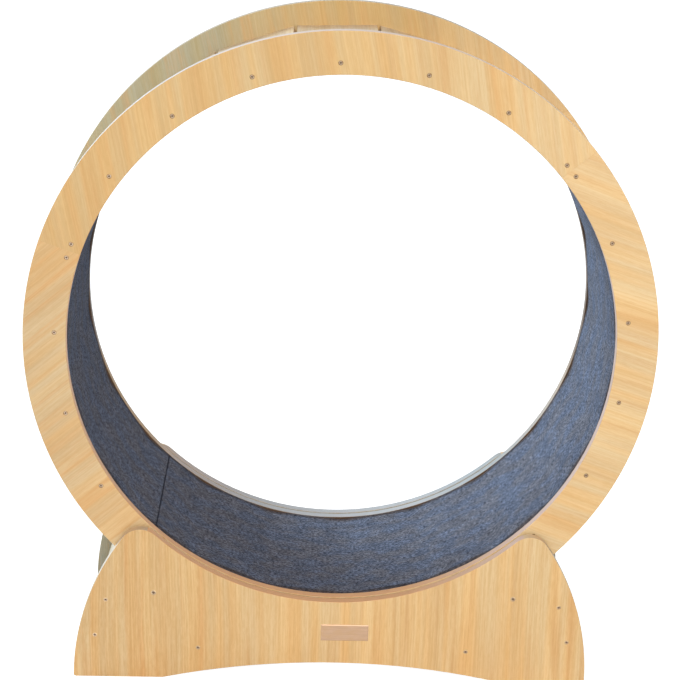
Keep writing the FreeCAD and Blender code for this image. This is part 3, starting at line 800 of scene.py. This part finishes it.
def set_screws(name, node, pattern, body, steel):
    """Copies the pattern to each screw of a CAD node, each turned its own way."""
    bpy.ops.object.select_all(action="DESELECT")
    for middle, _ in screw_heads(node):
        copy = bpy.data.objects.new(name, pattern.data.copy())
        bpy.context.scene.collection.objects.link(copy)
        facing = 0 if middle.y < 0 else math.pi
        copy.data.transform(Matrix.Translation(middle) @ Matrix.Rotation(facing, 4, "Z")
                            @ Matrix.Rotation(chance.uniform(0, math.pi / 2), 4, "Y"))
        copy.select_set(True)
        bpy.context.view_layer.objects.active = copy
    bpy.ops.object.join()
    screws = bpy.context.object
    screws.name = name
    screws.data.materials.append(steel)
    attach(screws, body)
    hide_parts(node)
    print(name, len(screw_heads(node)), "screws,", len(screws.data.polygons), "faces")


# %% The screws' steel
# Painted light: a tint on the heads by x, brighter towards the wheel's sides.
HEAD_PAINTED_LIGHT = [(-0.42, (1.35, 1.35, 1.4, 1)), (-0.30, (1.05, 1.05, 1.05, 1)),
              (0.1, (0.95, 0.95, 0.95, 1)), (0.45, (1.12, 1.08, 1.03, 1))]
HEAD_ROUGHNESS, STAIN_SHADE = 0.4, 0.75
INTO_RECESS, RECESS_REACH = (0.02, 0.16), 0.66
INTO_RIM = (0.74, 0.96)


def screw_metal(name, head, rim, recess):
    """Steel with its own colour on the head, a rim colour round it and painted shade in the cross. The
    ring screws' dark rim is painted shade. The heads are brighter towards the wheel's sides: painted
    light."""
    material, tree, shader = new_material(name)
    where = object_place(tree)
    across, deep, _ = split(tree, add(tree, "UVMap", uv_map="across_and_into_head").outputs[0])
    stain = [value * STAIN_SHADE for value in head[:3]] + [1]
    surface = use(tree, handled, {"Vector": where, "Color": head, "Stain": stain,
                                  "Roughness": HEAD_ROUGHNESS})
    near_middle = calc(tree, "LESS_THAN", across, RECESS_REACH)
    # The cross is painted shade.
    in_recess = times(tree, rise(tree, deep, *INTO_RECESS), near_middle)
    color = blend(tree, rise(tree, across, *INTO_RIM), surface["Color"], rim)
    # Painted light: the heads are brighter towards the wheel's sides.
    color = tinted(tree, color, by_place(tree, split(tree, where)[0], HEAD_PAINTED_LIGHT))
    set_surface(tree, shader, blend(tree, in_recess, color, recess), surface["Roughness"],
                surface["Height"], SCRATCH_DEPTH)
    shader.inputs["Metallic"].default_value = 1.0
    return material


# The ring screws' dark rim and both recess colours are painted shade.
ring_screw_steel = screw_metal("ring_screw_steel", head=rgb(168, 148, 126), rim=rgb(136, 108, 76),
                               recess=rgb(104, 86, 66))
base_screw_steel = screw_metal("base_screw_steel", head=rgb(166, 144, 120), rim=rgb(200, 174, 138),
                               recess=rgb(118, 98, 78))

# %% Set all the screws
chance = random.Random(5)
wood_screw_head = screw_heads("base_front_screws")[0][1]
axle_screw_head = screw_heads("roller_axle_screws")[0][1]
axle_reach = [abs(vertex.co.y) for vertex in nodes["roller_axle_screws"].data.vertices]
wood_screw = countersunk_screw(wood_screw_head, shank=2 * MM, length=45 * MM, point=4 * MM,
                               tip=0.3 * MM)
axle_screw = countersunk_screw(axle_screw_head, shank=2.5 * MM, point=0.5 * MM, tip=2 * MM,
                               length=max(axle_reach) - min(axle_reach))
for end in ("front", "rear"):
    set_screws(f"{end}_ring_countersunk", f"{end}_ring_screws", wood_screw, "wheel",
               ring_screw_steel)
for end in ("front", "rear"):
    set_screws(f"base_{end}_countersunk", f"base_{end}_screws", wood_screw, "base",
               base_screw_steel)
set_screws("axles_countersunk", "roller_axle_screws", axle_screw, "base", base_screw_steel)
for pattern in (wood_screw, axle_screw):
    bpy.data.objects.remove(pattern)

# %% [markdown]
# ## The bare plate
# A small copper-coloured plate is stuck on the front panel, and nothing is written on it. A
# flat box would look cut out of card, so all four sides slope: the upper slope catches the
# light and the lower one falls in shade. An inset with some depth makes the slopes.

# %% The plate's shape
SLOPE_WIDTH, SLOPE_DEPTH = 1.6 * MM, 0.8 * MM
plate_low, plate_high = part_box("name_plate")
edge_front = plate_low + Vector((0, SLOPE_DEPTH, 0))
bpy.ops.object.select_all(action="DESELECT")
bpy.ops.mesh.primitive_cube_add(size=1, location=(edge_front + plate_high) / 2)
plate = bpy.context.object
plate.name = "bare_plate"
plate.scale = plate_high - edge_front
bpy.ops.object.transform_apply(location=True, rotation=True, scale=True)
bpy.ops.object.mode_set(mode="EDIT")
bpy.ops.mesh.select_mode(type="FACE")
pick(plate, wanted_face=lambda polygon: polygon.normal.y < -0.9)
bpy.ops.mesh.inset(thickness=SLOPE_WIDTH, depth=SLOPE_DEPTH)
bpy.ops.object.mode_set(mode="OBJECT")
print("plate", [round(side / MM, 2) for side in plate.dimensions], "mm")

# %% The plate's copper
BRUSH_DEPTH = 0.02 * MM
plate_copper, tree, shader = new_material("plate_copper")
where = object_place(tree)
brushed = noise(tree, where, 2200.0, 3.0, 0.6, stretch=(0.012, 1, 1))
cloud = noise(tree, where, 90.0, 3.0, stretch=(0.5, 1, 1))
color = blend(tree, rise(tree, brushed, 0.3, 0.7), rgb(184, 150, 121), rgb(206, 172, 143))
color = blend(tree, times(tree, rise(tree, cloud, 0.4, 0.65), 0.7), color, rgb(194, 158, 121))
set_surface(tree, shader, color, between(tree, brushed, 0.38, 0.55), brushed, BRUSH_DEPTH, 0.5)
shader.inputs["Metallic"].default_value = 0.45
plate.data.materials.append(plate_copper)
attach(plate, "base")
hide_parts("name_plate")

# %% [markdown]
# ## The felt
# The running surface is one long strip of needle felt, glued to the slats. It could be a smooth
# tube, but the slats are flat, so it has a soft bend over every joint between two of them. A
# cylinder with one flat per slat gives the flats; bevelled edges give the bends; the seam is cut
# with two bisecting planes, and Solidify gives the felt its thickness.

# %% The strip's sizes, from the CAD strip
felt_low, felt_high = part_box("running_carpet")
FELT_WIDTH = felt_high.y - felt_low.y
FELT_FACE = radii("running_carpet")[0] * math.cos(PITCH / 2)
FELT_BACK = radii("running_carpet")[1] * math.cos(PITCH / 2)
FELT_THICKNESS = FELT_BACK - FELT_FACE
FELT_SEAM_TURN = math.radians(227.5)
FELT_SEAM_GAP = 1.0 * MM
print("felt", round(FELT_WIDTH, 4), "wide,", round(FELT_THICKNESS, 4), "thick")

# %% A tube with one flat per slat


def lengthwise(a, b):
    """True for an edge that runs from the front of the drum to its rear."""
    return abs(a.y - b.y) > FELT_WIDTH / 2


bpy.ops.object.select_all(action="DESELECT")
bpy.ops.mesh.primitive_cylinder_add(
    vertices=len(SLATS), radius=FELT_BACK / math.cos(PITCH / 2), depth=FELT_WIDTH,
    end_fill_type="NOTHING", location=AXIS, rotation=(math.pi / 2, 0, 0))
felt = bpy.context.object
felt.name = "felt_strip"
bpy.ops.object.transform_apply(location=True, rotation=True, scale=True)
corner = felt.data.vertices[0].co - AXIS
corner_turn = math.atan2(corner.z, corner.x)
felt.data.transform(Matrix.Translation(AXIS)
                    @ Matrix.Rotation(-(FIRST_SLAT_TURN + PITCH / 2 - corner_turn), 4, "Y")
                    @ Matrix.Translation(-AXIS))

# %% Soft bends, and a mesh fine enough for the nap
BEND_REACH = 16 * MM
GRID = 6 * MM

bpy.ops.object.mode_set(mode="EDIT")
bpy.ops.mesh.select_mode(type="EDGE")
pick(felt, wanted_edge=lengthwise)
bpy.ops.mesh.bevel(offset=BEND_REACH, segments=6, affect="EDGES", clamp_overlap=False)
pick(felt, wanted_edge=lengthwise)
bpy.ops.mesh.subdivide(number_cuts=round(FELT_WIDTH / GRID) - 1)
flat_run = 2 * FELT_BACK * math.tan(PITCH / 2) - 2 * BEND_REACH
pick(felt, wanted_edge=lambda a, b: abs(a.y - b.y) < MM and (a - b).length > flat_run * 0.9)
bpy.ops.mesh.subdivide(number_cuts=round(flat_run / GRID) - 1)
bpy.ops.object.mode_set(mode="OBJECT")
print("felt grid", len(felt.data.vertices), "points")

# %% The seam
seam_along = Vector((math.cos(FELT_SEAM_TURN), 0, math.sin(FELT_SEAM_TURN)))
seam_across = Vector((-math.sin(FELT_SEAM_TURN), 0, math.cos(FELT_SEAM_TURN)))


def near_seam(point, reach):
    """True within that distance of the seam's plane, on the seam's side of the wheel."""
    offset = point - AXIS
    return offset.dot(seam_along) > 0 and abs(offset.dot(seam_across)) < reach


bpy.ops.object.mode_set(mode="EDIT")
bpy.ops.mesh.select_mode(type="FACE")
for edge_of_cut in (-1, 1):
    pick(felt, wanted_face=lambda polygon: near_seam(polygon.center, 3 * GRID))
    bpy.ops.mesh.bisect(plane_co=AXIS + seam_across * edge_of_cut * FELT_SEAM_GAP / 2,
                        plane_no=seam_across)
pick(felt, wanted_face=lambda polygon: near_seam(polygon.center, FELT_SEAM_GAP / 2))
bpy.ops.mesh.delete(type="FACE")
bpy.ops.mesh.select_all(action="SELECT")
bpy.ops.mesh.normals_make_consistent(inside=True)
bpy.ops.object.mode_set(mode="OBJECT")

# %% Thickness, cut edges and nap
CUT_EDGE_ROUNDING = 0.9 * MM
NAP_PATCH, NAP_HEIGHT = 9 * MM, 0.5 * MM

finish_with(felt, "SOLIDIFY", thickness=FELT_THICKNESS, offset=1.0, use_even_offset=True)
finish_with(felt, "BEVEL", width=CUT_EDGE_ROUNDING, segments=2, limit_method="ANGLE",
            angle_limit=math.radians(50))
nap = bpy.data.textures.new("nap", "CLOUDS")
nap.noise_scale = NAP_PATCH
pile = felt.vertex_groups.new(name="pile")
pile.add([vertex.index for vertex in felt.data.vertices
          if from_axis(vertex.co) < (FELT_FACE + FELT_BACK) / 2], 1.0, "REPLACE")
finish_with(felt, "DISPLACE", texture=nap, strength=NAP_HEIGHT, mid_level=0.5, vertex_group="pile",
            texture_coords="LOCAL")
bpy.ops.object.shade_smooth_by_angle(angle=math.radians(50))
print("felt", sum(len(polygon.vertices) - 2 for polygon in felt.data.polygons), "triangles")

# %% A flat map for the felt's fibres
felt_map = felt.data.uv_layers.new(name="metres_along_and_across")
run_per_radian = FELT_FACE * math.tan(PITCH / 2) * 2 / PITCH
for loop in felt.data.loops:
    point = felt.data.vertices[loop.vertex_index].co - AXIS
    turn = (math.atan2(point.z, point.x) - FELT_SEAM_TURN) % math.tau
    felt_map.data[loop.index].uv = (turn * run_per_radian, point.y)
FELT_LENGTH = math.tau * run_per_radian
print("felt is", round(FELT_LENGTH, 3), "m long")

# %% [markdown]
# ## The felt's colours
# The felt is matted from dark and light wool, and its hue wanders a little from place to place.
# Short light fibres lie on it every way. Along both long edges it is darkened by painted shade, and
# by the seam by deeper painted shade.

# %% The felt's material
DARK_WOOLS = rgb(43, 42, 48), rgb(39, 42, 53)
LIGHT_WOOLS = rgb(139, 139, 151), rgb(130, 140, 165)
FIBRE = rgb(168, 172, 184)
PATCH_DARK, PATCH_LIGHT = (0.79, 0.79, 0.79, 1), (1.20, 1.20, 1.20, 1)
# Painted shade along both long edges of the felt, and deeper painted shade by its seam.
EDGE_SHADE_BAND, EDGE_SHADE_TINT = 13 * MM, (0.62, 0.48, 0.38, 1)
SEAM_BAND, SEAM_TINT = 1.5 * MM, (0.3, 0.3, 0.32, 1)
FIBRE_BUMP = 0.6 * MM


def fibres(tree, vector, lean, scale):
    """Short light fibres that lie at that angle on the cloth."""
    turned = add(tree, "Mapping", {"Vector": vector, "Rotation": (0, 0, math.radians(lean))}).outputs[0]
    return rise(tree, noise(tree, turned, scale, 2.0, 0.6, stretch=(0.1, 1, 1)), 0.56, 0.72)


needle_felt, tree, shader = new_material("needle_felt")
flat = add(tree, "UVMap", uv_map=felt_map.name).outputs[0]
heather = noise(tree, flat, 270.0, 4.0, 0.85, stretch=(0.7, 1, 1))
patches = noise(tree, flat, 56.0, 3.0, 0.6, stretch=(0.7, 1, 1))
elsewhere = vector_calc(tree, "ADD", flat, (3.7, 1.9, 0))
hue = rise(tree, noise(tree, elsewhere, 30.0, 2.0, 0.5, stretch=(0.7, 1, 1)), 0.38, 0.62)
light_fibres = fibres(tree, flat, 8, 900.0)
for lean, scale in ((40, 800.0), (-28, 850.0)):
    light_fibres = calc(tree, "MAXIMUM", light_fibres, fibres(tree, flat, lean, scale))
color = blend(tree, rise(tree, heather, 0.36, 0.66), blend(tree, hue, *DARK_WOOLS),
              blend(tree, hue, *LIGHT_WOOLS))
color = blend(tree, times(tree, light_fibres, 0.3), color, FIBRE)
color = tinted(tree, color, blend(tree, rise(tree, patches, 0.3, 0.7), PATCH_DARK, PATCH_LIGHT))

along, across, _ = split(tree, flat)
from_middle = calc(tree, "ABSOLUTE", across)
# Painted shade along the long edges.
painted_edge_shade = rise(tree, from_middle, FELT_WIDTH / 2 - EDGE_SHADE_BAND, FELT_WIDTH / 2 - EDGE_SHADE_BAND / 2)
color = blend(tree, painted_edge_shade, color, tinted(tree, color, EDGE_SHADE_TINT))
# Painted shade by the seam.
from_seam = calc(tree, "MINIMUM", along, minus(tree, FELT_LENGTH, along))
in_seam = calc(tree, "LESS_THAN", from_seam, SEAM_BAND)
color = blend(tree, in_seam, color, tinted(tree, color, SEAM_TINT))
height = plus(tree, heather, times(tree, light_fibres, 0.3))
set_surface(tree, shader, color, between(tree, heather, 0.85, 1.0), height, FIBRE_BUMP, 0.8)
shader.inputs["Sheen Weight"].default_value = 0.1
shader.inputs["Sheen Roughness"].default_value = 0.45
shader.inputs["Sheen Tint"].default_value = rgb(196, 206, 232)
shader.inputs["Specular IOR Level"].default_value = 0.05
felt.data.materials.append(needle_felt)

# %% What the felt rides on and stands for
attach(felt, "wheel")
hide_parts("running_carpet")

# %% [markdown]
# ## Floor and light
# The floor is white and plain. Seen by the camera, or mirrored in metal, it shines a little by
# itself, which keeps it white up to the horizon; the wheel's soft shadow still falls on it.

# %% The floor
FLOOR_SIZE = 40.0
FLOOR_GLOW = 0.9
WHITE = (1, 1, 1, 1)
bpy.ops.object.select_all(action="DESELECT")
bpy.ops.mesh.primitive_plane_add(size=FLOOR_SIZE, location=(0, 0, 0))
floor = bpy.context.object
floor.name = "floor"
floor_paint, tree, shader = new_material("floor_paint")
shader.inputs["Base Color"].default_value = rgb(235, 235, 235)
shader.inputs["Roughness"].default_value = 0.9
shader.inputs["Specular IOR Level"].default_value = 0.0


def seen_directly(tree):
    """1 for what the camera sees, straight or through a mirror or glass, and 0 for light."""
    path = add(tree, "LightPath").outputs
    seen = calc(tree, "MAXIMUM", path["Is Camera Ray"], path["Is Glossy Ray"])
    return calc(tree, "MAXIMUM", seen, path["Is Transmission Ray"])


dim = add(tree, "BsdfDiffuse", {"Color": rgb(190, 190, 190)}).outputs[0]
glow = add(tree, "Emission", {"Color": WHITE, "Strength": FLOOR_GLOW}).outputs[0]
shown = add(tree, "AddShader", {0: dim, 1: glow}).outputs[0]
mixed = add(tree, "MixShader", {0: seen_directly(tree), 1: shader.outputs[0], 2: shown}).outputs[0]
tree.links.new(mixed, tree.nodes["Material Output"].inputs["Surface"])
floor.data.materials.append(floor_paint)

# %% The light of the sky
SKY_COLOR, SKY_STRENGTH = (1, 0.95, 0.88, 1), 0.2
world = bpy.data.worlds.new("studio")
bpy.context.scene.world = world
world.use_nodes = True
tree = world.node_tree
soft = tree.nodes["Background"]
soft.inputs["Color"].default_value = SKY_COLOR
soft.inputs["Strength"].default_value = SKY_STRENGTH
white = add(tree, "Background", {"Color": WHITE, "Strength": 1.0}).outputs[0]
mixed = add(tree, "MixShader", {0: seen_directly(tree), 1: soft.outputs[0], 2: white}).outputs[0]
tree.links.new(mixed, tree.nodes["World Output"].inputs["Surface"])

# %% Two soft lamps: a warm one above the camera, and a window's blue one at the rear left


def lamp(name, place, size, watts, color):
    """A square soft box that looks at the wheel's middle."""
    light = bpy.data.lights.new(name, "AREA")
    light.size = size
    light.energy = watts
    light.color = color
    box = bpy.data.objects.new(name, light)
    bpy.context.scene.collection.objects.link(box)
    box.location = place
    box.rotation_euler = (AXIS - Vector(place)).to_track_quat("-Z", "Y").to_euler()
    print(name, watts, "W")


lamp("front_light", place=(-0.2, -8.8, 6.4), size=5.6, watts=845, color=(1, 0.985, 0.96))
lamp("window_light", place=(-13.6, 6.8, 6.8), size=6.6, watts=2900, color=(0.70, 0.88, 1.0))

# %% [markdown]
# ## The camera
# The camera stands a little to the left and above the wheel, about three metres off, and leans
# by three degrees. A small lens shift frames the wheel as if cut from a wider picture.

# %% Camera
CAMERA_AZIMUTH = math.radians(-4.34)
CAMERA_ELEVATION = math.radians(17.63)
CAMERA_ROLL = math.radians(3.01)
CAMERA_DISTANCE = 3.029
LOOK_AT = AXIS + Vector((0.1302, 0, -0.0003))
FOCAL_PIXELS = 1816.4
FRAME_PIXELS = 680
OPTICAL_CENTRE = (420, 318)

data = bpy.data.cameras.new("camera")
camera = bpy.data.objects.new("camera", data)
bpy.context.scene.collection.objects.link(camera)
view = Vector((-math.sin(CAMERA_AZIMUTH) * math.cos(CAMERA_ELEVATION),
               math.cos(CAMERA_AZIMUTH) * math.cos(CAMERA_ELEVATION), -math.sin(CAMERA_ELEVATION)))
right = Vector((math.cos(CAMERA_AZIMUTH), math.sin(CAMERA_AZIMUTH), 0))
up = right.cross(view)
level = Matrix((right, up, -view)).transposed()
camera.location = LOOK_AT - view * CAMERA_DISTANCE
camera.rotation_euler = (level @ Matrix.Rotation(CAMERA_ROLL, 3, "Z")).to_euler()
data.lens = FOCAL_PIXELS / FRAME_PIXELS * data.sensor_width
data.shift_x = (FRAME_PIXELS / 2 - OPTICAL_CENTRE[0]) / FRAME_PIXELS
data.shift_y = (OPTICAL_CENTRE[1] - FRAME_PIXELS / 2) / FRAME_PIXELS
bpy.context.scene.camera = camera
bpy.context.scene.view_settings.view_transform = "Standard"
